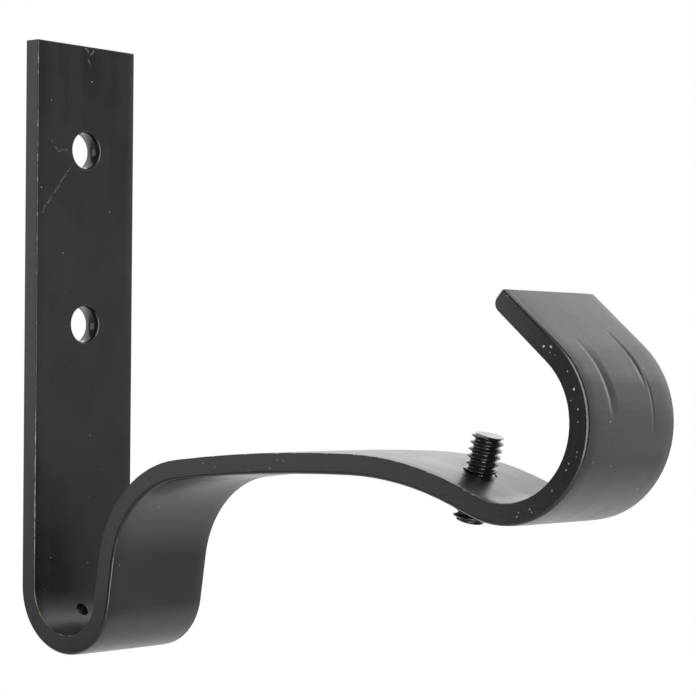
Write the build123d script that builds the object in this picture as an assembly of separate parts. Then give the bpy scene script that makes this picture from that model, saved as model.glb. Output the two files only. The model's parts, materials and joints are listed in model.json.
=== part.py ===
from build123d import *
import math
import os

# Open-hook wall bracket for a curtain pole: one flat bar, bent cold, and a headless screw that grips the
# pole. The bar's left side is the plate's front, the U's inside, the arm's top and the hook's inside.
# Millimetres. X comes out of the wall, Z is up, and Y runs along the wall. The origin is on the wall,
# at the middle of the bar's width, halfway between the two fixing holes.

# Flat bar
bar_width = 28.0
bar_thickness = 4.15
inner_edge_round = 0.2
outer_edge_round = 0.65
end_round = 0.3

# Wall plate, from its top end down
top_margin = 21.9
hole_spacing = 36.6
foot_run = 54.55
fixing_hole_diameter = 7.7
rim_break = 0.35

# U at the foot: it closes a little tighter on the way up than on the way down
u_entry_radius = 9.33
u_entry_angle = 89.2
u_exit_radius = 8.04
u_exit_angle = 82.5
riser_run = 9.75

# Small hole in the first part of the U
small_hole_diameter = 2.9
small_hole_run = 7.15
small_hole_side = -1.95

# Shoulder over the riser, and the arched arm that follows it
shoulder_radius = 19.96
shoulder_angle = 74.75
arm_radius = 346.4
arm_angle = 7.15
crown_radius = 65.45
crown_angle = 21.45
fall_run = 4.6

# Open hook that carries the pole
hook_radius = 14.05
hook_angle = 161.25
hook_end_run = 15.2
tip_round = 1.7
tip_back_round = 0.8

# Headless screw through the arm
thread_diameter = 6.3
thread_clearance = 0.05
screw_length = 16.5
screw_stand = 9.2
screw_run = 20.0
screw_lean = 2.2
screw_top_chamfer = 0.45
screw_foot_chamfer = 0.6
socket_across_flats = 3.2
socket_depth = 3.2

# Straight run, inside radius and turn of each stretch. A turn above 0 bends the bar towards the room,
# and a turn below 0 bends it back down.
wall_run = top_margin + hole_spacing + foot_run
stretches = [
    (wall_run, u_entry_radius, u_entry_angle),
    (0.0, u_exit_radius, u_exit_angle),
    (riser_run, shoulder_radius, -shoulder_angle),
    (0.0, arm_radius, -arm_angle),
    (0.0, crown_radius, -crown_angle),
    (fall_run, hook_radius, hook_angle),
    (hook_end_run, 0.0, 0.0),
]
half_bar = bar_thickness / 2
blank_margin = 2 * outer_edge_round + half_bar
plate_top = top_margin + hole_spacing / 2


def bar_edges(offset):
    """Lines and arcs along the bent bar, held at one distance to the left of its middle."""
    edges = []
    heading = -90.0
    point = Vector(half_bar + offset, plate_top)
    for run, inside_radius, turn in stretches:
        tangent = Vector(1, 0).rotate(Axis.Z, heading)
        if run > 0:
            edges.append(Line(point, point + tangent * run))
            point = edges[-1] @ 1
        if turn:
            radius = inside_radius + half_bar - math.copysign(offset, turn * offset)
            edges.append(JernArc(start=point, tangent=tangent, radius=radius, arc_size=turn))
            point = edges[-1] @ 1
            heading += turn
    return edges


def length_to(count):
    """Length of the bar's middle line over the first stretches."""
    total = 0.0
    for run, inside_radius, turn in stretches[:count]:
        total += run + (inside_radius + half_bar) * math.radians(abs(turn))
    return total


def bar_plane(run):
    """Plane across the bar's thickness at a length along it: Z points out of the left side."""
    middle = Plane.XZ * Wire(bar_edges(0.0))
    point = middle.position_at(run, position_mode=PositionMode.LENGTH)
    tangent = middle.tangent_at(run, position_mode=PositionMode.LENGTH)
    return Plane(origin=point, x_dir=tangent, z_dir=tangent.rotate(Axis.Y, -90))


def bar_blank(left_offset, overrun, corner_rounds, long_round):
    """A bent bar whose left side lies at an offset and whose ends run on, with all long edges rounded alike.

    The corners are those at the tip, left and right, and then those at the plate's top end."""
    left = bar_edges(left_offset)
    right = bar_edges(-half_bar)
    for side in (left, right):
        first, last = side[0], side[-1]
        side[0] = Line(first @ 0 - (first % 0) * overrun, first @ 1)
        side[-1] = Line(last @ 0, last @ 1 + (last % 1) * overrun)
    corners = [left[-1] @ 1, right[-1] @ 1, left[0] @ 0, right[0] @ 0]
    ends = [Line(corners[0], corners[1]), Line(corners[2], corners[3])]
    outline = make_face(Wire(left + right + ends))
    for corner, radius in zip(corners, corner_rounds):
        outline = fillet(outline.vertices().sort_by_distance(corner)[0], radius)
    blank = extrude(Plane.XZ * outline, amount=bar_width / 2, both=True)
    side_faces = blank.faces().sort_by(Axis.Y)
    return fillet(side_faces[0].edges() + side_faces[-1].edges(), long_round)


def bent_bar():
    """The bar as sheared: its long edges are nearly sharp on the left side and soft on the right."""
    sharp = bar_blank(half_bar, 0.0, (tip_round, tip_back_round, end_round, end_round), inner_edge_round)
    soft = bar_blank(half_bar + blank_margin, blank_margin, (outer_edge_round,) * 4, outer_edge_round)
    return sharp & soft


def drill(plane, diameter):
    """A drill long enough to pass the bar and nothing else."""
    return plane * Cylinder(diameter / 2, 2 * bar_thickness)


def fixing_holes():
    """The two holes for the wall screws, with the sharp rim taken off on both sides."""
    tools = []
    hole_radius = fixing_hole_diameter / 2
    for height in (hole_spacing / 2, -hole_spacing / 2):
        plane = Plane(origin=(half_bar, 0, height), x_dir=(0, 1, 0), z_dir=(1, 0, 0))
        tools.append(drill(plane, fixing_hole_diameter))
        for side in (1, -1):
            rim = Cone(hole_radius, hole_radius + rim_break, rim_break)
            if side < 0:
                rim = Cone(hole_radius + rim_break, hole_radius, rim_break)
            tools.append(plane * Pos(0, 0, side * (half_bar - rim_break / 2)) * rim)
    return tools


def bracket_strip():
    """The bent bar with its four holes."""
    bar = bent_bar()
    for tool in fixing_holes():
        bar -= tool
    bar -= drill(bar_plane(wall_run + small_hole_run) * Pos(0, small_hole_side), small_hole_diameter)
    bar -= drill(screw_seat, thread_diameter + 2 * thread_clearance)
    return bar


def pole_screw():
    """Headless screw, flat at the pole's end and with a hexagon socket at the other."""
    radius = thread_diameter / 2
    body = Pos(0, 0, screw_stand - screw_length / 2) * Cylinder(radius, screw_length)
    top_rim = body.edges().group_by(Axis.Z)[-1]
    body = chamfer(top_rim, screw_top_chamfer)
    foot_rim = body.edges().group_by(Axis.Z)[0]
    body = chamfer(foot_rim, screw_foot_chamfer)
    socket_radius = socket_across_flats / math.sqrt(3)
    foot = screw_stand - screw_length
    body -= Pos(0, 0, foot) * extrude(RegularPolygon(socket_radius, 6), amount=socket_depth)
    return screw_seat * body


crown_start = length_to(4)
screw_seat = bar_plane(crown_start + screw_run) * Rot(0, -screw_lean, 0)

os.makedirs("parts", exist_ok=True)
export_step(bracket_strip(), "parts/bracket_strip.step")
export_step(pole_screw(), "parts/pole_screw.step")
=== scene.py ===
"""Looks for an open-hook curtain pole bracket: a bent flat bar in satin black paint and its glossy grip screw."""

import json
import logging
import math
from dataclasses import dataclass, field
from enum import Enum

import bmesh
import bpy
import numpy as np
from bmesh.types import BMEdge, BMesh, BMVert
from bpy.types import Material, NodeTree
from mathutils import Matrix, Vector


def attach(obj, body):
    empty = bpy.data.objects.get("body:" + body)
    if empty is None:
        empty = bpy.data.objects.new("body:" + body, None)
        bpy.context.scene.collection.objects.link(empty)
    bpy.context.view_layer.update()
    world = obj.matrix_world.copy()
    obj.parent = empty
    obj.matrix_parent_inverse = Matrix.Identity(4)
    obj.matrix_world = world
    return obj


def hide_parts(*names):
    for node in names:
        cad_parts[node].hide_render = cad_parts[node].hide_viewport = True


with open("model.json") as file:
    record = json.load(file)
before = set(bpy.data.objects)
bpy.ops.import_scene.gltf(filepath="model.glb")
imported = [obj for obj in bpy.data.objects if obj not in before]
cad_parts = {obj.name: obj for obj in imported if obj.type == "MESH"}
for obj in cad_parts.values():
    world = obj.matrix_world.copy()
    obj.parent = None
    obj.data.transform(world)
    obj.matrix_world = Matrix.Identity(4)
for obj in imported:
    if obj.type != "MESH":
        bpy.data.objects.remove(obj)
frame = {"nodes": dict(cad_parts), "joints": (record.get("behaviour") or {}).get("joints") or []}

logging.basicConfig(level=logging.INFO, format="%(message)s")
log = logging.getLogger("bracket")

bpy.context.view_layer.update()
MM = 0.001
PLACE = "bar_place"
HALF_WIDTH = 14.0 * MM
HALF_THICKNESS = 2.075 * MM

Socket = bpy.types.NodeSocket
Pair = tuple[float, float]
Triple = tuple[float, float, float]
Rgba = tuple[float, float, float, float]
Value = float | Socket
Colour = Rgba | Socket


class Slot(Enum):
    """The record's material slots."""

    BAR = "bar_paint"
    SCREW = "screw_black"


class Side(Enum):
    """Sides of the flat bar, as the direction in which each faces: across the bar, and out of it."""

    INNER = (0, 1)
    OUTER = (0, -1)
    NEAR = (-1, 0)

    def place(self, run: float, beside: float) -> Triple:
        """Finds a spot on this side of the flat bar.

        Args:
            run: Length along the bar in millimetres.
            beside: Place across the bar, or offset from its middle on the near side, in millimetres.

        Returns:
            The spot's place on the flat bar in metres.
        """
        across, out = self.value
        if across:
            return run * MM, across * HALF_WIDTH, beside * MM
        return run * MM, beside * MM, out * HALF_THICKNESS


def stand(name: str, data: bpy.types.ID) -> bpy.types.Object:
    """Stands a new object in the scene.

    Args:
        name: The object's name.
        data: Its mesh, light or camera.

    Returns:
        The new object.
    """
    made = bpy.data.objects.new(name, data)
    bpy.context.scene.collection.objects.link(made)
    return made


@dataclass(frozen=True)
class Stretch:
    """One straight run of the bar in millimetres, and the bend that follows it in degrees."""

    run: float
    inside_radius: float
    turn: float


@dataclass(frozen=True)
class Segment:
    """A line or an arc of the bar's middle line, in metres and radians."""

    start: Pair
    heading: float
    length: float
    curve: float
    begin: float

    def at(self, along: float, offset: float = 0.0) -> Triple:
        """Finds a point beside the segment.

        Args:
            along: Distance from the segment's start.
            offset: Distance to the left of the line.

        Returns:
            X, Z and heading there.
        """
        heading = self.heading + self.curve * along
        if self.curve:
            radius = 1 / self.curve
            x = self.start[0] + radius * (math.sin(heading) - math.sin(self.heading))
            z = self.start[1] - radius * (math.cos(heading) - math.cos(self.heading))
        else:
            x = self.start[0] + along * math.cos(heading)
            z = self.start[1] + along * math.sin(heading)
        return x - offset * math.sin(heading), z + offset * math.cos(heading), heading

    def project(self, points: np.ndarray) -> tuple[np.ndarray, np.ndarray, np.ndarray]:
        """Drops points on the segment.

        Args:
            points: Rows of X and Z.

        Returns:
            Distance along, offset to the left and distance to the segment of each point.
        """
        delta = points - np.array(self.start)
        cos_h, sin_h = math.cos(self.heading), math.sin(self.heading)
        forward = delta[:, 0] * cos_h + delta[:, 1] * sin_h
        left = delta[:, 1] * cos_h - delta[:, 0] * sin_h
        if self.curve:
            radius = 1 / self.curve
            angle = np.arctan2(forward, (radius - left) * np.sign(radius))
            along = angle * abs(radius)
            offset = radius - np.sign(radius) * np.hypot(forward, radius - left)
        else:
            along, offset = forward, left
        beyond = np.maximum(0, np.maximum(-along, along - self.length))
        return np.clip(along, 0, self.length), offset, np.hypot(beyond, offset)


@dataclass
class BarLine:
    """The bar's middle line, unrolled: it turns a place in space into a place on the flat bar."""

    width: float = 2 * HALF_WIDTH
    thickness: float = 2 * HALF_THICKNESS
    top: float = 40.2 * MM
    stretches: tuple[Stretch, ...] = (
        Stretch(113.05, 9.33, 89.2),
        Stretch(0.0, 8.04, 82.5),
        Stretch(9.75, 19.96, -74.75),
        Stretch(0.0, 346.4, -7.15),
        Stretch(0.0, 65.45, -21.45),
        Stretch(4.6, 14.05, 161.25),
        Stretch(15.2, 0.0, 0.0),
    )
    segments: list[Segment] = field(default_factory=list)

    def __post_init__(self) -> None:
        """Walks the stretches from the plate's top end to the hook's tip."""
        x, z, heading, begin = self.thickness / 2, self.top, -math.pi / 2, 0.0
        for stretch in self.stretches:
            radius = stretch.inside_radius * MM + self.thickness / 2
            turn = math.radians(stretch.turn)
            for length, curve in (
                (stretch.run * MM, 0.0),
                (radius * abs(turn), math.copysign(1 / radius, turn)),
            ):
                if length > 0:
                    segment = Segment((x, z), heading, length, curve, begin)
                    self.segments.append(segment)
                    x, z, heading = segment.at(length)
                    begin += length

    def at(self, run: float, offset: float = 0.0) -> Triple:
        """Finds X, Z and heading at a length along the bar and an offset to its left."""
        segment = [segment for segment in self.segments if segment.begin <= run][-1]
        return segment.at(run - segment.begin, offset)

    def unroll(self, points: np.ndarray) -> np.ndarray:
        """Maps points in space to the flat bar.

        Args:
            points: Rows of X, Y and Z.

        Returns:
            Rows of run along the bar, place across it, offset from its middle, and the line's heading and curve.
        """
        flat = points[:, [0, 2]]
        nearest = np.full(len(points), np.inf)
        place = np.zeros((len(points), 5))
        place[:, 1] = points[:, 1]
        for segment in self.segments:
            along, offset, distance = segment.project(flat)
            closer = distance < nearest - 1e-9
            place[closer, 0] = segment.begin + along[closer]
            place[closer, 2] = offset[closer]
            place[closer, 3] = segment.heading + segment.curve * along[closer]
            place[closer, 4] = segment.curve
            nearest[closer] = distance[closer]
        return place


@dataclass(frozen=True)
class BendMark:
    """A long shallow groove that the bending tool left on the outside of the hook, in millimetres."""

    begin: float
    end: float
    near: Pair
    far: Pair
    depth: float
    deepest: float = 0.3

    def press(self, run: np.ndarray, across: np.ndarray) -> np.ndarray:
        """Finds how deep the mark is at places on the flat bar.

        Args:
            run: Lengths along the bar.
            across: Places across it.

        Returns:
            The depth at each place.
        """
        share = np.clip((run - self.begin) / (self.end - self.begin), 0, 1)
        near = self.near[0] + (self.near[1] - self.near[0]) * share
        far = self.far[0] + (self.far[1] - self.far[0]) * share
        place = np.clip((across - near) / (far - near), 0, 1)
        wall = np.minimum(place / self.deepest, (1 - place) / (1 - self.deepest))
        return self.depth * np.sin(math.pi * share) ** 0.7 * wall**1.3


class Nodes:
    """Short way to write a shader node tree."""

    def __init__(self, tree: NodeTree) -> None:
        """Starts on an empty tree."""
        self.tree = tree
        tree.nodes.clear()

    def feed(self, socket: Socket, value: Value | tuple[float, ...]) -> None:
        """Gives an input its value.

        Args:
            socket: The input.
            value: The value, or the socket that feeds the input.
        """
        if isinstance(value, Socket):
            self.tree.links.new(value, socket)
        else:
            socket.default_value = value

    def add(self, kind: str, values: dict | None = None, **settings) -> bpy.types.Node:
        """Adds a node.

        Args:
            kind: Node type, without the ShaderNode prefix.
            values: Input name or number to a value or to the socket that feeds it.
            settings: Properties of the node.

        Returns:
            The new node.
        """
        full = kind if kind.startswith("NodeGroup") else "ShaderNode" + kind
        node = self.tree.nodes.new(full)
        for name, value in settings.items():
            setattr(node, name, value)
        for name, value in (values or {}).items():
            self.feed(node.inputs[name], value)
        return node

    def math(self, operation: str, *values: Value, clamp: bool = False) -> Socket:
        """Adds a Math node and returns its result."""
        node = self.add("Math", dict(enumerate(values)), operation=operation, use_clamp=clamp)
        return node.outputs[0]

    def times(self, *factors: Value) -> Socket:
        """Adds Math nodes that multiply two or more factors, and returns the product."""
        product = factors[0]
        for factor in factors[1:]:
            product = self.math("MULTIPLY", product, factor)
        return product

    def vector(self, operation: str, *values: Value | tuple[float, ...], out: int = 0) -> Socket:
        """Adds a Vector Math node and returns one of its results."""
        return self.add("VectorMath", dict(enumerate(values)), operation=operation).outputs[out]

    def scale(self, vector: Value | tuple[float, ...], factor: Value) -> Socket:
        """Scales a vector or a colour and returns the result."""
        return self.add("VectorMath", {0: vector, "Scale": factor}, operation="SCALE").outputs[0]

    def ramp(self, value: Value, low: float, high: float, to_low: float = 0.0, to_high: float = 1.0) -> Socket:
        """Adds a smooth step from the range low to high to the range to_low to to_high, and returns its result."""
        values = {"Value": value, "From Min": low, "From Max": high, "To Min": to_low, "To Max": to_high}
        return self.add("MapRange", values, interpolation_type="SMOOTHSTEP").outputs["Result"]

    def noise(self, place: Socket, scale: Value, detail: float = 3.0, roughness: float = 0.5) -> Socket:
        """Adds a noise texture and returns its value."""
        values = {"Vector": place, "Scale": scale, "Detail": detail, "Roughness": roughness}
        return self.add("TexNoise", values).outputs[0]

    def effect(self, group: NodeTree, **values) -> bpy.types.bpy_prop_collection:
        """Adds a shared effect, with values or sockets for its inputs, and returns its outputs."""
        return self.add("Group", values, node_tree=group).outputs

    def mix(self, factor: Value, first: Colour, second: Colour) -> Socket:
        """Mixes two colours.

        Args:
            factor: Share of the second colour.
            first: The first colour.
            second: The second colour.

        Returns:
            The mixed colour.
        """
        node = self.add("Mix", data_type="RGBA", clamp_factor=True)
        for index, value in ((0, factor), (6, first), (7, second)):
            self.feed(node.inputs[index], value)
        return node.outputs[2]


class EffectLibrary:
    """Shared surface effects, each built once as a node group."""

    def __init__(self) -> None:
        """Builds every effect."""
        self.grain = self._paint_grain()
        self.edge = self._edge_wear()
        self.specks = self._dust_specks()
        self.stroke = self._scratch_stroke()
        self.speck = self._speck()
        self.drawn = self._drawn_lines()

    @staticmethod
    def _group(name: str, inputs: dict[str, float | Triple], *outputs: str) -> tuple:
        """Starts a node group that works from a place.

        Args:
            name: The group's name.
            inputs: Name of each further input to its default value.
            outputs: Names of its outputs, which are all values.

        Returns:
            Its nodes, the place, all its inputs and its outputs.
        """
        group = bpy.data.node_groups.new(name, "ShaderNodeTree")
        group.interface.new_socket("Place", in_out="INPUT", socket_type="NodeSocketVector")
        for socket, default in inputs.items():
            kind = "NodeSocketVector" if isinstance(default, tuple) else "NodeSocketFloat"
            group.interface.new_socket(socket, in_out="INPUT", socket_type=kind).default_value = default
        for socket in outputs:
            group.interface.new_socket(socket, in_out="OUTPUT", socket_type="NodeSocketFloat")
        nodes = Nodes(group)
        given = nodes.add("NodeGroupInput").outputs
        return nodes, given["Place"], given, nodes.add("NodeGroupOutput").inputs

    def _paint_grain(self) -> NodeTree:
        """Builds the fine orange peel and mill grain under the paint.

        Returns:
            The group: its height, and a slow cloudiness.
        """
        n, place, given, out = self._group("Paint grain", {"Peel": 1500.0, "Grain": 5200.0}, "Height", "Cloud")
        grain_share, cloud_scale = 0.35, 70.0
        peel = n.noise(place, given["Peel"], 2.0)
        grain = n.noise(place, given["Grain"], 3.0)
        height = n.math("MULTIPLY_ADD", grain, grain_share, n.times(peel, 1 - grain_share))
        n.feed(out["Height"], height)
        n.feed(out["Cloud"], n.noise(place, cloud_scale, 5.0, 0.62))
        return n.tree

    def _edge_wear(self) -> NodeTree:
        """Finds the rounded long edges of the bar, and where their paint has chipped.

        Returns:
            The group: how near an edge is, and the chips.
        """
        n, place, given, out = self._group("Edge wear", {"Reach": 0.0006, "Chipped": 0.5}, "Edge", "Chips")
        chip_scale, chip_level = 420.0, (0.72, 0.8)
        parts = n.add("SeparateXYZ", {0: place}).outputs
        side = n.math("SUBTRACT", HALF_WIDTH, n.math("ABSOLUTE", parts[1]))
        face = n.math("SUBTRACT", HALF_THICKNESS, n.math("ABSOLUTE", parts[2]))
        away = n.math("MAXIMUM", side, face)
        edge = n.math("SUBTRACT", 1.0, n.math("DIVIDE", away, given["Reach"]), clamp=True)
        n.feed(out["Edge"], edge)
        rough = n.noise(place, chip_scale, 6.0, 0.7)
        grown = n.times(edge, n.math("ADD", rough, given["Chipped"]))
        n.feed(out["Chips"], n.ramp(grown, *chip_level))
        return n.tree

    def _dust_specks(self) -> NodeTree:
        """Scatters small pale specks of dust and bare metal, with bare gaps between.

        Returns:
            The group: the specks.
        """
        n, place, given, out = self._group("Dust specks", {"Scale": 400.0, "Share": 0.1}, "Mask")
        cells = n.add("TexVoronoi", {"Vector": place, "Scale": given["Scale"], "Randomness": 1.0})
        smallest, spread, ragged_scale = 0.02, 0.05, 9000.0
        luck = n.add("SeparateColor", {0: cells.outputs["Color"]}).outputs
        size = n.math("MULTIPLY_ADD", luck[1], spread, smallest)
        dot = n.math("LESS_THAN", cells.outputs["Distance"], size)
        kept = n.math("LESS_THAN", luck[0], given["Share"])
        ragged = n.ramp(n.noise(place, ragged_scale, 1.0), 0.35, 0.5)
        n.feed(out["Mask"], n.times(dot, kept, ragged))
        return n.tree

    def _scratch_stroke(self) -> NodeTree:
        """Draws one broken scratch from a start to an end on the flat bar.

        Returns:
            The group: the scratch.
        """
        inputs = {"Start": (0.0, 0.0, 0.0), "End": (0.01, 0.0, 0.0), "Width": 0.0003}
        n, place, given, out = self._group("Scratch stroke", inputs, "Mask")
        middle_grey, sway, break_scale = (0.5, 0.5, 0.5), (1.2 * MM, 1.2 * MM, 0.0), 1300.0
        wave = n.add("TexNoise", {"Vector": place, "Scale": 500.0})
        bend = n.vector("MULTIPLY", n.vector("SUBTRACT", wave.outputs["Color"], middle_grey), sway)
        here = n.vector("ADD", n.vector("SUBTRACT", place, given["Start"]), bend)
        line = n.vector("SUBTRACT", given["End"], given["Start"])
        along, whole = (n.vector("DOT_PRODUCT", first, line, out=1) for first in (here, line))
        share = n.math("DIVIDE", along, whole, clamp=True)
        away = n.vector("LENGTH", n.vector("SUBTRACT", here, n.scale(line, share)), out=1)
        thin = n.math("SUBTRACT", 1.0, n.math("DIVIDE", away, given["Width"]), clamp=True)
        broken = n.ramp(n.noise(place, break_scale, 3.0, 0.7), 0.42, 0.6)
        n.feed(out["Mask"], n.times(thin, broken))
        return n.tree

    def _drawn_lines(self) -> NodeTree:
        """Draws the faint lines along the bar, from the mill and the bending tool.

        Returns:
            The group: the lines.
        """
        n, place, _, out = self._group("Drawn lines", {}, "Lines")
        lengthened, broad_share = (0.03, 1.0, 1.0), 0.6
        stretched = n.vector("MULTIPLY", place, lengthened)
        fine = n.noise(stretched, 2600.0, 3.0, 0.6)
        broad = n.noise(stretched, 700.0, 2.0, 0.5)
        lines = n.math("MULTIPLY_ADD", broad, broad_share, n.times(fine, 1 - broad_share))
        n.feed(out["Lines"], lines)
        return n.tree

    def _speck(self) -> NodeTree:
        """Sets one small ragged speck at a place on the flat bar.

        Returns:
            The group: the speck.
        """
        n, place, given, out = self._group("Speck", {"Centre": (0.0, 0.0, 0.0), "Size": 0.0003}, "Mask")
        ragged_scale, ragged_gain, ragged_base = 2600.0, 1.4, -0.05
        away = n.vector("LENGTH", n.vector("SUBTRACT", place, given["Centre"]), out=1)
        ragged = n.math("MULTIPLY_ADD", n.noise(place, ragged_scale, 3.0, 0.7), ragged_gain, ragged_base)
        share = n.math("DIVIDE", away, n.times(given["Size"], ragged))
        n.feed(out["Mask"], n.ramp(share, 1.2, 0.7))
        return n.tree


@dataclass(frozen=True)
class Scratch:
    """A scratch on the flat bar, in millimetres."""

    start: Pair
    end: Pair
    width: float
    side: Side = Side.INNER


@dataclass(frozen=True)
class Speck:
    """A small spot on the flat bar, in millimetres, and how strong it is."""

    run: float
    beside: float
    side: Side
    size: float = 0.2
    strength: float = 0.5


SPECKS = {
    Side.NEAR: (
        (294.8, -0.2, 0.32, 1.0), (304.6, 0.3, 0.32, 1.0), (303.4, -0.7, 0.36, 0.9), (208.5, -1.0, 0.22, 0.6),
        (194.4, -0.1, 0.2, 0.6), (191.4, 0.85, 0.3, 0.5), (280.3, 0.36, 0.3, 0.5), (316.3, -1.4, 0.2, 0.6),
        (298.1, -0.4, 0.26, 0.6), (266.8, -0.6, 0.28, 0.5), (291.3, -0.1, 0.3, 0.5), (210.5, 0.7, 0.24, 0.4),
        (293.1, 1.1, 0.2, 0.4), (269.8, 0.0, 0.32, 0.35), (142.1, 1.0, 0.2, 0.4), (203.0, -1.3, 0.2, 0.4),
        (289.1, 0.1, 0.26, 0.4), (283.3, -0.6, 0.2, 0.4), (212.0, 0.5, 0.22, 0.4), (121.6, 0.0, 0.2, 0.4),
        (275.5, 0.3, 0.36, 0.3), (284.1, -0.5, 0.3, 0.3), (302.9, 0.26, 0.26, 0.35), (270.0, -0.7, 0.22, 0.35),
        (301.9, -0.15, 0.2, 0.35), (281.6, 0.4, 0.22, 0.35), (175.5, -0.6, 0.2, 0.4), (267.3, 0.1, 0.3, 0.25),
    ),
    Side.INNER: (
        (7.3, 1.3, 0.24, 0.9), (108.9, 1.3, 0.24, 0.7), (43.7, -6.7, 0.22, 0.7), (34.3, 6.9, 0.26, 0.6),
        (120.4, -3.1, 0.24, 0.5), (107.3, -9.5, 0.26, 0.45), (23.9, 2.7, 0.2, 0.35), (1.1, 1.7, 0.2, 0.35),
        (51.9, -5.9, 0.2, 0.3), (19.3, 1.6, 0.2, 0.35), (119.7, -0.3, 0.28, 0.3), (69.9, 11.2, 0.2, 0.3),
        (97.1, -8.0, 0.2, 0.3), (114.1, -11.1, 0.2, 0.3), (89.2, 5.3, 0.2, 0.3), (95.0, 1.5, 0.2, 0.3),
        (255.1, -12.4, 0.24, 0.6), (255.7, -11.0, 0.2, 0.6), (256.3, -8.8, 0.24, 0.6), (256.5, -6.0, 0.2, 0.6),
    ),
    Side.OUTER: (
        (282.1, -4.7, 0.22, 0.8), (168.8, -6.3, 0.24, 0.6), (169.2, -9.2, 0.2, 0.5), (154.2, -11.9, 0.2, 0.5),
        (271.2, -12.0, 0.2, 0.5), (289.1, -7.2, 0.2, 0.6), (277.4, 8.0, 0.24, 0.6), (282.8, -10.6, 0.22, 0.6),
        (297.8, 7.3, 0.2, 0.5), (310.9, 5.1, 0.2, 0.5), (277.0, 11.6, 0.26, 0.6), (283.2, 12.2, 0.22, 0.5),
        (313.3, -11.9, 0.2, 0.4), (140.7, 1.7, 0.2, 0.4),
    ),
}


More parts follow.
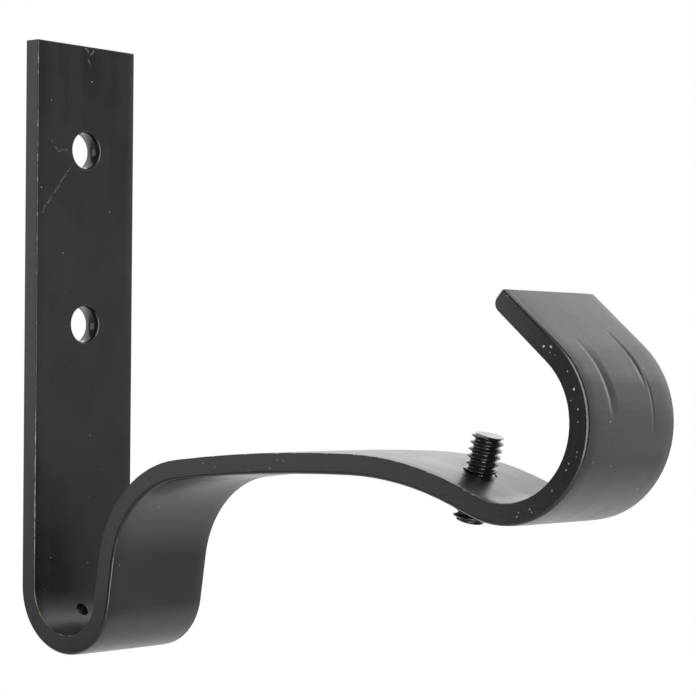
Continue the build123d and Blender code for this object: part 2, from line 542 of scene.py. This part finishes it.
@dataclass(frozen=True)
class SatinPaint:
    """Satin black paint on the bar, with its wear. Lengths are in millimetres."""

    colour: Triple = (0.0072, 0.0086, 0.0082)
    clouding: Pair = (0.7, 1.3)
    worn: Rgba = (0.42, 0.43, 0.40, 1.0)
    worn_cover: float = 0.8
    tint: Rgba = (0.22, 0.24, 0.06, 1.0)
    rust: Rgba = (0.34, 0.13, 0.035, 1.0)
    roughness: Pair = (0.27, 0.35)
    burnish: float = 0.4
    worn_roughness: float = 0.25
    hole_gloss: float = -0.18
    relief: float = 0.04
    lip: Pair = (-13.45, 1.4)
    chipped_run: Pair = (74.0, 126.0)
    tint_run: Pair = (107.0, 115.0)
    rust_run: Pair = (117.8, 125.0)
    sheared_face: float = -13.3
    sheared_run: Pair = (240.0, 332.0)
    holes: tuple[Triple, ...] = ((21.9, 0.0, 3.9), (58.5, 0.0, 3.9), (120.2, -1.95, 1.5))
    scratch_cover: float = 0.35
    scratches: tuple[Scratch, ...] = (
        Scratch((20.6, -10.2), (22.4, -8.3), 0.30),
        Scratch((22.4, -8.3), (22.2, -5.5), 0.32),
        Scratch((25.9, -4.9), (28.6, -7.1), 0.26),
        Scratch((28.6, -7.1), (35.5, -12.7), 0.28),
        Scratch((0.4, -0.6), (1.7, 0.9), 0.4),
        Scratch((1.7, 0.9), (0.8, 1.9), 0.4),
        Scratch((2.6, 0.4), (4.4, 0.8), 0.3),
    )
    specks: tuple[Speck, ...] = tuple(Speck(*spot[:2], side, *spot[2:]) for side in SPECKS for spot in SPECKS[side])
    scuffs: tuple[Speck, ...] = (
        Speck(286.3, -6.0, Side.OUTER, 1.1, 0.4),
        Speck(308.2, -7.3, Side.OUTER, 0.4, 0.6),
    )

    def build(self, effects: EffectLibrary) -> Material:
        """Makes the paint.

        Args:
            effects: The shared node groups.

        Returns:
            The finished material.
        """
        material = bpy.data.materials.new("Satin black bar paint")
        material.use_nodes = True
        n = Nodes(material.node_tree)
        place = n.add("Attribute", attribute_name=PLACE).outputs["Vector"]
        run, across, depth = n.add("SeparateXYZ", {0: place}).outputs
        grain = n.effect(effects.grain, Place=place)
        edge = n.effect(effects.edge, Place=place, Reach=0.6 * MM, Chipped=0.30)
        drawn = n.effect(effects.drawn, Place=place)["Lines"]
        on_lip = n.times(
            n.math("LESS_THAN", across, self.lip[0] * MM),
            n.math("GREATER_THAN", depth, self.lip[1] * MM),
            self._stretch(n, run, self.chipped_run, 6.0),
        )
        lost = n.effect(effects.edge, Place=place, Reach=0.4 * MM, Chipped=0.5)["Chips"]
        chips = n.math("MAXIMUM", edge["Chips"], n.times(lost, on_lip))
        worn = n.math("MAXIMUM", self._marks(n, effects, place), chips)
        bare = self.worn
        for stain, stretch in ((self.tint, self.tint_run), (self.rust, self.rust_run)):
            bare = n.mix(n.times(on_lip, self._stretch(n, run, stretch, 1.5)), bare, stain)
        dark = n.scale(self.colour, n.ramp(grain["Cloud"], 0.3, 0.7, *self.clouding))
        streaks = n.math("MULTIPLY_ADD", drawn, 0.5, n.times(grain["Cloud"], 0.5))
        rough = n.ramp(streaks, 0.35, 0.65, *self.roughness)
        rubbed = n.times(edge["Edge"], n.math("LESS_THAN", depth, 0.0))
        rough = n.times(rough, n.ramp(rubbed, 0.0, 0.4, 1.0, self.burnish))
        scuffed = self._spots(n, effects, place, self.scuffs, 0.0)
        rough = n.math("MULTIPLY_ADD", n.math("MAXIMUM", scuffed, worn), self.worn_roughness, rough)
        rough = n.math("ADD", rough, self._hole_walls(n, place))
        height = n.math("MULTIPLY_ADD", worn, 0.8, n.math("MULTIPLY_ADD", drawn, 0.35, grain["Height"]))
        height = n.math("MULTIPLY_ADD", self._torn(n, place, run, across), 4.0, height)
        bump = n.add("Bump", {"Strength": 0.22, "Distance": self.relief * MM, "Height": height})
        surface = n.add(
            "BsdfPrincipled",
            {
                "Base Color": n.mix(n.times(worn, self.worn_cover), dark, bare),
                "Roughness": rough,
                "Normal": bump.outputs[0],
                "IOR": 1.58,
            },
        )
        n.add("OutputMaterial", {"Surface": surface.outputs[0]})
        return material

    def _marks(self, n: Nodes, effects: EffectLibrary, place: Socket) -> Socket:
        """Finds the dust, scratches and specks.

        Args:
            n: The material's nodes.
            effects: The shared node groups.
            place: Place on the flat bar.

        Returns:
            The mask of all of them.
        """
        marks = n.effect(effects.specks, Place=place, Scale=330.0, Share=0.05)["Mask"]
        for scratch in self.scratches:
            start, end = (scratch.side.place(*spot) for spot in (scratch.start, scratch.end))
            stroke = n.effect(effects.stroke, Place=place, Start=start, End=end, Width=scratch.width * MM)
            marks = n.math("MAXIMUM", marks, n.times(stroke["Mask"], self.scratch_cover))
        return self._spots(n, effects, place, self.specks, marks)

    def _hole_walls(self, n: Nodes, place: Socket) -> Socket:
        """Finds the change of roughness on the walls of the holes.

        Args:
            n: The material's nodes.
            place: Place on the flat bar.

        Returns:
            What is added to the roughness.
        """
        flat = n.vector("MULTIPLY", place, (1.0, 1.0, 0.0))
        change = 0.0
        for run, across, radius in self.holes:
            away = n.vector("LENGTH", n.vector("SUBTRACT", flat, (run * MM, across * MM, 0.0)), out=1)
            wall = n.ramp(away, (radius + 0.06) * MM, radius * MM, 0.0, self.hole_gloss)
            change = n.math("ADD", change, wall)
        return change

    def _torn(self, n: Nodes, place: Socket, run: Socket, across: Socket) -> Socket:
        """Finds the height of the torn grain on the sheared face at the hook."""
        face = n.math("LESS_THAN", across, self.sheared_face * MM)
        return n.times(n.noise(place, 1100.0, 4.0, 0.6), face, self._stretch(n, run, self.sheared_run, 14.0))

    @staticmethod
    def _stretch(n: Nodes, run: Socket, ends: Pair, soft: float) -> Socket:
        """Picks a stretch of the bar.

        Args:
            n: The material's nodes.
            run: Length along the bar.
            ends: Where the stretch begins and ends, in millimetres.
            soft: How far it takes to fade in and out.

        Returns:
            One inside the stretch and nought outside.
        """
        begin, end = ends
        rising = n.ramp(run, begin * MM, (begin + soft) * MM)
        return n.times(rising, n.ramp(run, (end - soft) * MM, end * MM, 1.0, 0.0))

    @staticmethod
    def _spots(n: Nodes, effects: EffectLibrary, place: Socket, spots: tuple[Speck, ...], marks: Value) -> Socket:
        """Adds spots to a mask.

        Args:
            n: The material's nodes.
            effects: The shared node groups.
            place: Place on the flat bar.
            spots: The spots.
            marks: The mask so far.

        Returns:
            The mask with the spots on it.
        """
        for spot in spots:
            centre = spot.side.place(spot.run, spot.beside)
            mask = n.effect(effects.speck, Place=place, Centre=centre, Size=spot.size * MM)["Mask"]
            marks = n.math("MAXIMUM", marks, n.times(mask, spot.strength))
        return marks


@dataclass(frozen=True)
class ScrewBlack:
    """Glossy black oxide on the grip screw."""

    colour: Triple = (0.012, 0.012, 0.012)
    clouding: Pair = (0.6, 1.5)
    roughness: Pair = (0.08, 0.2)
    relief: float = 0.09

    def build(self, effects: EffectLibrary) -> Material:
        """Makes the finish.

        Args:
            effects: The shared node groups.

        Returns:
            The finished material.
        """
        material = bpy.data.materials.new("Glossy black screw")
        material.use_nodes = True
        n = Nodes(material.node_tree)
        place = n.add("TexCoord").outputs["Object"]
        height = n.effect(effects.grain, Place=place, Peel=2400.0)["Height"]
        rough = n.ramp(height, 0.35, 0.65, *self.roughness)
        dark = n.scale(self.colour, n.ramp(height, 0.3, 0.7, *self.clouding))
        bump = n.add("Bump", {"Strength": 0.8, "Distance": self.relief * MM, "Height": height})
        surface = n.add(
            "BsdfPrincipled",
            {"Base Color": dark, "Roughness": rough, "Normal": bump.outputs[0], "IOR": 1.6},
        )
        n.add("OutputMaterial", {"Surface": surface.outputs[0]})
        return material


@dataclass
class BentBar:
    """The one bent bar: wall plate, U, arm and open hook."""

    line: BarLine
    marks: tuple[BendMark, ...] = (
        BendMark(289.5, 304.0, (-7.3, -8.1), (-4.1, -5.2), 0.17),
        BendMark(294.5, 307.0, (4.7, 4.9), (6.7, 6.2), 0.19, 0.45),
        BendMark(287.0, 298.0, (6.0, 6.3), (7.4, 7.2), 0.05, 0.4),
    )
    inner_edge: float = 0.2
    outer_edge: float = 0.65
    dense_run: Pair = (285.0, 309.0)
    bands: tuple[Pair, ...] = ((-9.0, -3.4), (4.2, 7.8))
    step: float = 0.2
    touch: float = 0.02
    end_rounds: Pair = (0.4, 2.0)
    sharp_angle: float = 32.0
    stray_angle: float = 40.0
    crown_reach: Pair = (2.1, 3.4)
    crown_drop: Pair = (0.09, 0.14)
    crown_cuts: tuple[float, ...] = (10.6, 11.3, 12.0, 12.5, 12.9, 13.35)
    bulge: float = 2.0
    bulge_run: Pair = (258.0, 286.0)

    def build(self, paint: Material) -> bpy.types.Object:
        """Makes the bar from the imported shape, with the tool's marks pressed into the hook.

        Args:
            paint: The bar's finish.

        Returns:
            The bar, riding on the bracket.
        """
        node = frame["nodes"]["bracket_strip"]
        mesh = bpy.data.meshes.new("bent_bar")
        work = bmesh.new()
        work.from_mesh(node.data)
        bmesh.ops.remove_doubles(work, verts=work.verts[:], dist=1e-6)
        self._refine(work)
        work.to_mesh(mesh)
        work.free()
        place = self._press(mesh)
        attribute = mesh.attributes.new(PLACE, "FLOAT_VECTOR", "POINT")
        attribute.data.foreach_set("vector", place[:, :3].ravel())
        self._smooth(mesh, place)
        mesh.materials.clear()
        mesh.materials.append(paint)
        bar = stand("bent_bar", mesh)
        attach(bar, "bracket")
        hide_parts("bracket_strip")
        log.info("bent bar: %d points, %d faces", len(mesh.vertices), len(mesh.polygons))
        return bar

    def _broad(self, work: BMesh, dense: bool) -> list:
        """Faces of the broad sides, with their edges and points.

        Args:
            work: The mesh.
            dense: Whether only the outer side within the dense run is wanted.

        Returns:
            Points, edges and faces, in that order.
        """
        low, high = (value * MM for value in self.dense_run)
        work.verts.index_update()
        work.edges.index_update()
        place = self.line.unroll(np.array([tuple(face.calc_center_median()) for face in work.faces]))
        depth = self.line.thickness / 2 - self.touch * MM
        if dense:
            picked = (place[:, 0] > low) & (place[:, 0] < high) & (place[:, 2] < -depth)
            picked &= np.abs(place[:, 1]) < self.line.width / 2 - 0.9 * MM
        else:
            picked = np.abs(place[:, 2]) > depth
        faces = [face for face, keep in zip(work.faces, picked) if keep]
        edges = {edge.index: edge for face in faces for edge in face.edges}
        points = {point.index: point for face in faces for point in face.verts}
        return [*(points[i] for i in sorted(points)), *(edges[i] for i in sorted(edges)), *faces]

    def _refine(self, work: BMesh) -> None:
        """Cuts the broad sides along their edges, and the outside of the hook into cells that can hold the marks.

        Args:
            work: The mesh.
        """
        edges = (*self.crown_cuts, *(-cut for cut in self.crown_cuts))
        cuts = [(False, (0, across * MM, 0), (0, 1, 0)) for across in edges]
        for low, high in self.bands:
            places = np.arange(low, high + self.step / 2, self.step)
            cuts += [(True, (0, across * MM, 0), (0, 1, 0)) for across in places]
        for run in np.arange(self.dense_run[0] + 1, self.dense_run[1]):
            x, z, heading = self.line.at(run * MM)
            cuts.append((True, (x, 0, z), (math.cos(heading), 0, math.sin(heading))))
        for dense, place, normal in cuts:
            bmesh.ops.bisect_plane(work, geom=self._broad(work, dense), plane_co=place, plane_no=normal)

    def _crown(self, across: np.ndarray, offset: np.ndarray) -> tuple[np.ndarray, np.ndarray]:
        """Finds how far the broad sides fall away towards the long edges, as on any sheared bar.

        Args:
            across: Places across the bar.
            offset: Offsets from its middle.

        Returns:
            The drop at each place and the slope there.
        """
        reach = np.where(offset > 0, self.crown_reach[0], self.crown_reach[1]) * MM
        drop = np.where(offset > 0, self.crown_drop[0], self.crown_drop[1]) * MM
        share = np.clip(1 - (self.line.width / 2 - np.abs(across)) / reach, 0, 1)
        return drop * share**2, 2 * drop * share / reach

    def _press(self, mesh: bpy.types.Mesh) -> np.ndarray:
        """Lets the long edges fall away and presses the tool's marks into the outside of the hook.

        Args:
            mesh: The bar's mesh.

        Returns:
            Each point's place on the flat bar before it was pressed, with the line's heading and curve there.
        """
        points = np.empty(len(mesh.vertices) * 3)
        mesh.vertices.foreach_get("co", points)
        points = points.reshape(-1, 3)
        place = self.line.unroll(points)
        outer = place[:, 2] < self.touch * MM - self.line.thickness / 2
        dent = sum(mark.press(place[:, 0] / MM, place[:, 1] / MM) for mark in self.marks) * outer * MM
        log.info("tool marks: %d points pressed in", np.count_nonzero(dent > 1e-9))
        level = np.clip(np.abs(place[:, 2]) / (self.line.thickness / 2), 0, 1)
        dent -= np.sign(place[:, 2]) * self._crown(place[:, 1], place[:, 2])[0] * level
        points[:, 0] -= dent * np.sin(place[:, 3])
        points[:, 2] += dent * np.cos(place[:, 3])
        mesh.vertices.foreach_set("co", points.ravel())
        return place

    def _smooth(self, mesh: bpy.types.Mesh, place: np.ndarray) -> None:
        """Gives the mesh the bar's exact directions, so that its faces stay true beside the rounded edges.

        Args:
            mesh: The bar's mesh.
            place: Each point's place on the flat bar, with the line's heading and curve there.
        """
        mesh.shade_smooth()
        mesh.set_sharp_from_angle(angle=math.radians(self.sharp_angle))
        run, across, offset, heading, curve = place.T
        edge = np.where(offset > 0, self.inner_edge, self.outer_edge) * MM
        side_reach = self.line.width / 2 - edge
        face_reach = self.line.thickness / 2 - edge
        aside = across - np.clip(across, -side_reach, side_reach)
        outward = offset - np.clip(offset, -face_reach, face_reach)
        length = np.hypot(aside, outward)
        slope = self._crown(across, offset)[1] * np.sign(across)
        start, full = (value * MM for value in self.bulge_run)
        bulge = self.bulge * MM * curve * np.clip((run - start) / (full - start), 0, 1)
        aside, outward = aside + slope * np.abs(outward), outward - bulge * np.abs(aside)
        exact = np.stack((-np.sin(heading) * outward, aside, np.cos(heading) * outward), axis=1)
        tip = self.line.segments[-1].begin + self.line.segments[-1].length
        top_round, tip_round = (value * MM for value in self.end_rounds)
        plain = (length > 0.9 * edge) & (run > top_round) & (run < tip - tip_round)
        low, high = (value * MM for value in self.dense_run)
        plain &= ~((run > low) & (run < high) & (offset < -face_reach) & (np.abs(across) < side_reach - 0.3 * MM))
        exact[~plain] = 0
        exact[plain] /= np.linalg.norm(exact[plain], axis=1)[:, None]
        corners = np.empty(len(mesh.loops), np.int32)
        mesh.loops.foreach_get("vertex_index", corners)
        flat = np.empty(len(mesh.polygons) * 3)
        mesh.polygons.foreach_get("normal", flat)
        counts = np.empty(len(mesh.polygons), np.int32)
        mesh.polygons.foreach_get("loop_total", counts)
        normals = exact[corners]
        facing = np.repeat(flat.reshape(-1, 3), counts, axis=0)
        normals[(normals * facing).sum(axis=1) < math.cos(math.radians(self.stray_angle))] = 0
        mesh.normals_split_custom_set(normals.tolist())


@dataclass
class PoleScrew:
    """The headless screw that grips the pole: a rolled thread, a chamfered top and a socket at the foot."""

    line: BarLine
    crest_radius: float = 3.15
    root_radius: float = 2.42
    pitch: float = 1.27
    length: float = 16.5
    stand: float = 9.2
    crown_segment: int = 6
    crown_run: float = 20.0
    start: float = -0.33
    worn_top: float = 0.12
    nick_depth: float = 0.07
    top_chamfer: float = 0.45
    foot_chamfer: float = 0.6
    socket_flats: float = 3.2
    socket_depth: float = 3.2
    drill_point: float = 0.6
    sharp_angle: float = 40.0
    columns: int = 72
    rows_per_turn: int = 16

    def _thread_radius(self, phase: float) -> float:
        """Finds the radius of the rolled thread: rounded crest, straight flanks, rounded root.

        Args:
            phase: Share of the pitch.

        Returns:
            The radius in millimetres.
        """
        crest_flat, flank_width, softness = 0.14, 0.64, 0.35
        wave = abs((phase % 1.0) - 0.5) * 2
        flank = min(1.0, max(0.0, (wave - crest_flat) / flank_width))
        smooth = flank * flank * (3 - 2 * flank) * softness + flank * (1 - softness)
        return self.crest_radius - (self.crest_radius - self.root_radius) * smooth

    def _wear(self, angle: float, height: float) -> float:
        """Finds how much the thread has lost at a place.

        Args:
            angle: Angle round the screw.
            height: Height above the bar's middle line in millimetres.

        Returns:
            The loss of radius in millimetres.
        """
        arm_top = 2.0
        taper = self.worn_top * min(1.0, max(0.0, (height - arm_top) / (self.stand - arm_top)))
        nicks = math.sin(3 * angle + 2.1 * height) * math.sin(7 * angle - 3.7 * height) * math.sin(1.7 * height + 1)
        return taper + self.nick_depth * max(0.0, nicks)

    def _seat(self) -> Matrix:
        """Finds the screw's place.

        Returns:
            The screw's frame: its origin on the bar's middle line, and Z out of the arm's top.
        """
        crown = self.line.segments[self.crown_segment]
        x, z, _ = crown.at(self.crown_run * MM)
        axis = Vector(frame["joints"][0]["axis"]).normalized()
        across = Vector((0, 1, 0))
        basis = Matrix((across.cross(axis), across, axis)).transposed().to_4x4()
        return Matrix.Translation((x, 0, z)) @ basis

    def build(self, finish: Material) -> bpy.types.Object:
        """Makes the screw.

        Args:
            finish: The screw's finish.

        Returns:
            The screw, riding on the body that slides.
        """
        foot = self.stand - self.length
        work = bmesh.new()
        first = math.floor(foot / self.pitch - 2) * self.rows_per_turn
        last = math.ceil(self.stand / self.pitch + 1) * self.rows_per_turn
        grid: dict[tuple[int, int], BMVert] = {}

        def point(column: int, row: int) -> BMVert:
            """Finds one point of the helical grid, made on first use.

            Args:
                column: Step round the screw.
                row: Step along the thread's profile.

            Returns:
                The point.
            """
            if column == self.columns:
                column, row = 0, row + self.rows_per_turn
            if (column, row) not in grid:
                turn = column / self.columns
                height = (row / self.rows_per_turn + turn + self.start) * self.pitch
                angle = turn * math.tau
                radius = self._thread_radius(row / self.rows_per_turn) - self._wear(angle, height)
                top_limit = self.crest_radius - self.top_chamfer + max(0.0, self.stand - height)
                foot_limit = self.crest_radius - self.foot_chamfer + max(0.0, height - foot)
                radius = min(radius, top_limit, foot_limit)
                place = (radius * math.cos(angle), radius * math.sin(angle), height)
                grid[column, row] = work.verts.new(place)
            return grid[column, row]

        for row in range(first, last):
            for column in range(self.columns):
                corners = [(0, 0), (1, 0), (1, 1), (0, 1)]
                work.faces.new([point(column + i, row + k) for i, k in corners])
        for height, normal in ((self.stand, 1), (foot, -1)):
            cut = bmesh.ops.bisect_plane(
                work,
                geom=work.verts[:] + work.edges[:] + work.faces[:],
                plane_co=(0, 0, height),
                plane_no=(0, 0, normal),
                clear_outer=True,
            )
            rim = [e for e in cut["geom_cut"] if isinstance(e, BMEdge)]
            if normal > 0:
                bmesh.ops.edgeloop_fill(work, edges=rim)
            else:
                self._socket(work, rim, foot)
        bmesh.ops.remove_doubles(work, verts=work.verts[:], dist=1e-5)
        bmesh.ops.recalc_face_normals(work, faces=work.faces[:])
        bmesh.ops.scale(work, vec=(MM, MM, MM), verts=work.verts[:])
        bmesh.ops.transform(work, matrix=self._seat(), verts=work.verts[:])
        mesh = bpy.data.meshes.new("threaded_screw")
        work.to_mesh(mesh)
        work.free()
        mesh.shade_smooth()
        mesh.set_sharp_from_angle(angle=math.radians(self.sharp_angle))
        mesh.materials.append(finish)
        screw = stand("threaded_screw", mesh)
        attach(screw, "screw")
        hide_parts("pole_screw")
        log.info("threaded screw: %d points, %d faces", len(mesh.vertices), len(mesh.polygons))
        return screw

    def _socket(self, work: BMesh, rim: list[BMEdge], foot: float) -> None:
        """Closes the foot with a hexagon socket inside the rim that the cut left.

        Args:
            work: The screw's mesh.
            rim: The edges round the foot.
            foot: The foot's height.
        """
        flats = self.socket_flats / 2
        top = foot + self.socket_depth
        tip = work.verts.new((0, 0, top + flats * self.drill_point))
        made: dict[tuple[int, int], BMVert] = {}

        def inner(vertex: BMVert, level: int) -> BMVert:
            """Finds the hexagon's point beside a point of the rim.

            Args:
                vertex: The rim's point.
                level: Nought at the socket's mouth, and one at its end.

            Returns:
                The hexagon's point.
            """
            if (vertex.index, level) not in made:
                angle = math.atan2(vertex.co.y, vertex.co.x)
                sixth = (angle % (math.pi / 3)) - math.pi / 6
                radius = flats / math.cos(sixth)
                height = foot if level == 0 else top
                place = (radius * math.cos(angle), radius * math.sin(angle), height)
                made[vertex.index, level] = work.verts.new(place)
            return made[vertex.index, level]

        work.verts.index_update()
        for edge in rim:
            a, b = edge.verts
            rings = [(a, b), (inner(a, 0), inner(b, 0)), (inner(a, 1), inner(b, 1))]
            for (a1, b1), (a2, b2) in zip(rings, rings[1:]):
                work.faces.new((a1, b1, b2, a2))
            work.faces.new((rings[-1][0], rings[-1][1], tip))


@dataclass(frozen=True)
class SoftPanel:
    """A soft studio light."""

    name: str
    place: Triple
    aim: Triple
    size: Pair
    watts: float


@dataclass
class Studio:
    """Camera, floor, backdrop and lights."""

    view_place: Triple = (0.36311, -0.34924, -0.02706)
    azimuth: float = 39.941
    elevation: float = 1.367
    roll: float = 0.618
    lens: float = 122.0
    shift: Pair = (0.03164, 0.11046)
    floor_height: float = -0.25
    floor_size: float = 6.0
    floor_colour: Rgba = (0.8, 0.8, 0.8, 1.0)
    white: Rgba = (1.0, 1.0, 1.0, 1.0)
    part_middle: Triple = (0.07, 0.0, 0.0)
    seen_white: Pair = (0.15, 0.34)
    mirrored_white: Pair = (0.04, 0.16)
    backdrop: Triple = (130.0, 70.0, 8.0)
    room: float = 0.10
    panels: tuple[SoftPanel, ...] = (
        SoftPanel("top_panel", (0.07, 0.05, 0.7), (0.07, 0.05, 0.0), (0.9, 0.9), 1.4),
        SoftPanel("front_panel", (0.35, -0.6, 0.55), (0.06, 0.0, -0.02), (0.6, 0.5), 1.0),
        SoftPanel("left_rear_panel", (-0.42, 0.72, 0.30), (0.09, 0.0, -0.05), (0.9, 0.40), 0.95),
        SoftPanel("high_rear_panel", (0.02, 0.70, 0.58), (0.13, 0.0, -0.036), (0.5, 0.35), 0.2),
        SoftPanel("rear_panel", (0.25, 0.80, 0.22), (0.13, 0.0, -0.036), (0.35, 0.4), 0.6),
        SoftPanel("right_rear_panel", (0.55, 0.75, 0.0), (0.0, 0.0, -0.03), (0.3, 0.5), 0.06),
        SoftPanel("hook_card", (0.27, 0.18, -0.04), (0.13, 0.0, -0.036), (0.14, 0.16), 0.03),
        SoftPanel("right_panel", (0.377, -0.185, 0.06), (0.08, 0.0, 0.0), (0.26, 0.6), 2.1),
        SoftPanel("front_left_panel", (-0.58, -0.67, 0.1), (0.0, 0.0, -0.02), (0.5, 0.5), 0.95),
    )

    def camera(self) -> None:
        """Stands the camera where the photo was taken from."""
        azimuth, elevation, roll = (math.radians(v) for v in (self.azimuth, self.elevation, self.roll))
        right = Vector((math.cos(azimuth), math.sin(azimuth), 0))
        ahead = Vector(
            (-math.sin(azimuth) * math.cos(elevation), math.cos(azimuth) * math.cos(elevation), -math.sin(elevation))
        )
        up = right.cross(ahead)
        rolled_right = math.cos(roll) * right + math.sin(roll) * up
        rolled_up = math.cos(roll) * up - math.sin(roll) * right
        data = bpy.data.cameras.new("photo_camera")
        data.lens, data.sensor_width = self.lens, 36.0
        data.shift_x, data.shift_y = self.shift
        data.clip_start, data.clip_end = 0.01, 50.0
        camera = stand("photo_camera", data)
        basis = Matrix((rolled_right, rolled_up, -ahead)).transposed().to_4x4()
        camera.matrix_world = Matrix.Translation(self.view_place) @ basis
        bpy.context.scene.camera = camera

    def _backdrop(self, n: Nodes, heading: Socket) -> tuple[Socket, Socket]:
        """Finds the rays that see the white backdrop.

        Args:
            n: The floor's or the surround's nodes.
            heading: Direction in which the ray leaves the part.

        Returns:
            One for the camera's and the clear rays, and one for the glossy rays that go behind the part.
        """
        rays = n.add("LightPath").outputs
        flat = n.vector("NORMALIZE", n.vector("MULTIPLY", heading, (1.0, 1.0, 0.0)))
        middle, half, soft = (math.radians(v) for v in self.backdrop)
        towards = n.vector("DOT_PRODUCT", flat, (math.cos(middle), math.sin(middle), 0.0), out=1)
        behind = n.ramp(towards, math.cos(half + soft), math.cos(half - soft))
        clear = n.math("MAXIMUM", rays["Is Camera Ray"], rays["Is Transmission Ray"])
        return clear, n.times(rays["Is Glossy Ray"], behind)

    def floor(self) -> None:
        """Lays the pale floor: it keeps the part's shadow, and further out it passes into the white backdrop."""
        size = self.floor_size
        corners = [(-size, -size), (size, -size), (size, size), (-size, size)]
        mesh = bpy.data.meshes.new("floor")
        mesh.from_pydata([(x, y, self.floor_height) for x, y in corners], [], [(0, 1, 2, 3)])
        material = bpy.data.materials.new("Plain pale floor")
        material.use_nodes = True
        n = Nodes(material.node_tree)
        place = n.vector("SUBTRACT", n.add("TexCoord").outputs["Object"], self.part_middle)
        reach = n.vector("LENGTH", n.vector("MULTIPLY", place, (1.0, 1.0, 0.0)), out=1)
        clear, glossy = self._backdrop(n, place)
        seen = n.math(
            "MAXIMUM",
            n.times(clear, n.ramp(reach, *self.seen_white)),
            n.times(glossy, n.ramp(reach, *self.mirrored_white)),
        )
        matt = n.add("BsdfDiffuse", {"Color": self.floor_colour})
        white = n.add("Emission", {"Color": self.white, "Strength": 1.0})
        both = n.add("MixShader", {0: seen, 1: matt.outputs[0], 2: white.outputs[0]})
        n.add("OutputMaterial", {"Surface": both.outputs[0]})
        mesh.materials.append(material)
        floor = stand("floor", mesh)

    def surround(self) -> None:
        """Sets the white backdrop and the dim room that lights the part."""
        world = bpy.data.worlds.new("studio")
        bpy.context.scene.world = world
        world.use_nodes = True
        n = Nodes(world.node_tree)
        seen = n.math("MAXIMUM", *self._backdrop(n, n.add("TexCoord").outputs["Generated"]))
        dim = n.add("Background", {"Color": self.white, "Strength": self.room})
        white = n.add("Background", {"Color": self.white, "Strength": 1.0})
        both = n.add("MixShader", {0: seen, 1: dim.outputs[0], 2: white.outputs[0]})
        n.add("OutputWorld", {"Surface": both.outputs[0]})

    def lights(self) -> None:
        """Hangs the soft panels."""
        for panel in self.panels:
            data = bpy.data.lights.new(panel.name, "AREA")
            data.shape = "RECTANGLE"
            data.size, data.size_y = panel.size
            data.energy = panel.watts
            light = stand(panel.name, data)
            aim = Vector(panel.aim) - Vector(panel.place)
            light.location = panel.place
            light.rotation_euler = aim.to_track_quat("-Z", "Y").to_euler()
            light.visible_camera = False
            log.info("light %s: %.2f W", panel.name, panel.watts)


def main() -> None:
    """Builds the studio and dresses the bracket."""
    bpy.context.scene.view_settings.view_transform = "Standard"
    studio = Studio()
    studio.camera()
    studio.floor()
    studio.surround()
    studio.lights()
    effects = EffectLibrary()
    line = BarLine()
    BentBar(line).build(SatinPaint().build(effects))
    PoleScrew(line).build(ScrewBlack().build(effects))


if __name__ == "__main__":
    main()
